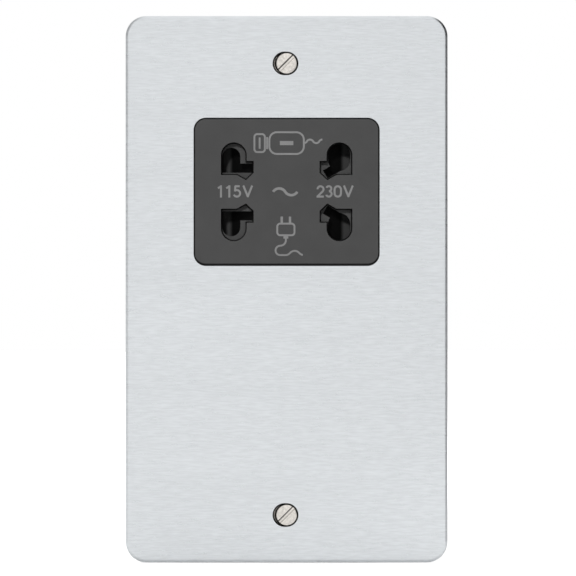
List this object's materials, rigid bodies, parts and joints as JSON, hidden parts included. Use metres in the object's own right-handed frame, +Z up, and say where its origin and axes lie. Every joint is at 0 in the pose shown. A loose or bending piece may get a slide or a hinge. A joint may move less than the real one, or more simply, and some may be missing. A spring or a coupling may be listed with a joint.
{
  "type": "shaver socket",
  "caption": "Flat wall-plate shaver socket: brushed steel plate, dark insert with pin apertures, sliding shutter, contacts, switch and an isolating transformer in a stepped rear casing.",
  "frame": {"origin": "middle of the wall plate on the wall plane, between the two fixing screws", "axes": "+X right and +Z up as seen from the room, +Y into the wall"},
  "size_m": [0.086, 0.0419, 0.146],
  "materials": {
    "brushed_plate": "fine horizontal brushing",
    "foam": "closed-cell foam",
    "nickel_screw": "nickel plated",
    "zinc_steel": "bright zinc plated",
    "insert_grey": "fine matt grain",
    "shutter_black": "moulded",
    "spring_steel": "drawn wire",
    "contact_bronze": "stamped strip",
    "silver_tip": "bright",
    "carrier_black": "moulded",
    "lamination_steel": "varnished stack",
    "bobbin_nylon": "moulded",
    "copper_winding": "enamelled wire",
    "cutout_can": "drawn can",
    "housing_white": "moulded, fine grain",
    "terminal_brass": "machined",
    "earth_tinned": "tinned strip",
    "lead_brown": "insulated lead",
    "lead_blue": "insulated lead",
    "lead_grey": "insulated lead",
    "lead_black": "insulated lead",
    "lead_white": "insulated lead",
    "print_grey": "screen print"
  },
  "bodies": {
    "base": {"face_plate": "brushed_plate", "wall_gasket": "foam", "fixing_screws": "nickel_screw", "plate_studs": "zinc_steel", "stud_washers": "zinc_steel", "stud_nuts": "zinc_steel", "socket_insert": "insert_grey", "pin_guide": "insert_grey", "shutter_spring_left": "spring_steel", "shutter_spring_right": "spring_steel", "switch_moving_leaf": "contact_bronze", "switch_fixed_leaf": "contact_bronze", "switch_tips": "silver_tip", "contact_carrier": "carrier_black", "carrier_screws": "zinc_steel", "contact_115": "contact_bronze", "contact_230": "contact_bronze", "contact_common": "contact_bronze", "core_e_stack": "lamination_steel", "core_i_stack": "lamination_steel", "bobbin": "bobbin_nylon", "primary_winding": "copper_winding", "secondary_winding": "copper_winding", "core_strap_upper": "zinc_steel", "core_strap_lower": "zinc_steel", "strap_screws": "zinc_steel", "thermal_cutout": "cutout_can", "front_housing": "housing_white", "rear_cover": "housing_white", "cover_screws": "zinc_steel", "terminal_live": "terminal_brass", "terminal_neutral": "terminal_brass", "terminal_earth": "terminal_brass", "terminal_screws": "nickel_screw", "earth_strap": "earth_tinned", "lead_live": "lead_brown", "lead_switched": "lead_brown", "lead_primary": "lead_brown", "lead_neutral": "lead_blue", "lead_115": "lead_grey", "lead_230": "lead_black", "lead_common": "lead_white"},
    "shutter": {"shutter_slide": "shutter_black"}
  },
  "joints": [
    {"name": "shutter_travel", "type": "slide", "parent": "base", "child": "shutter", "axis": [1, 0, 0], "range_m": [-0.009, 0.009], "stiffness_N_per_m": 300, "deforming": ["shutter_spring_left", "shutter_spring_right", "switch_moving_leaf"]}
  ]
}
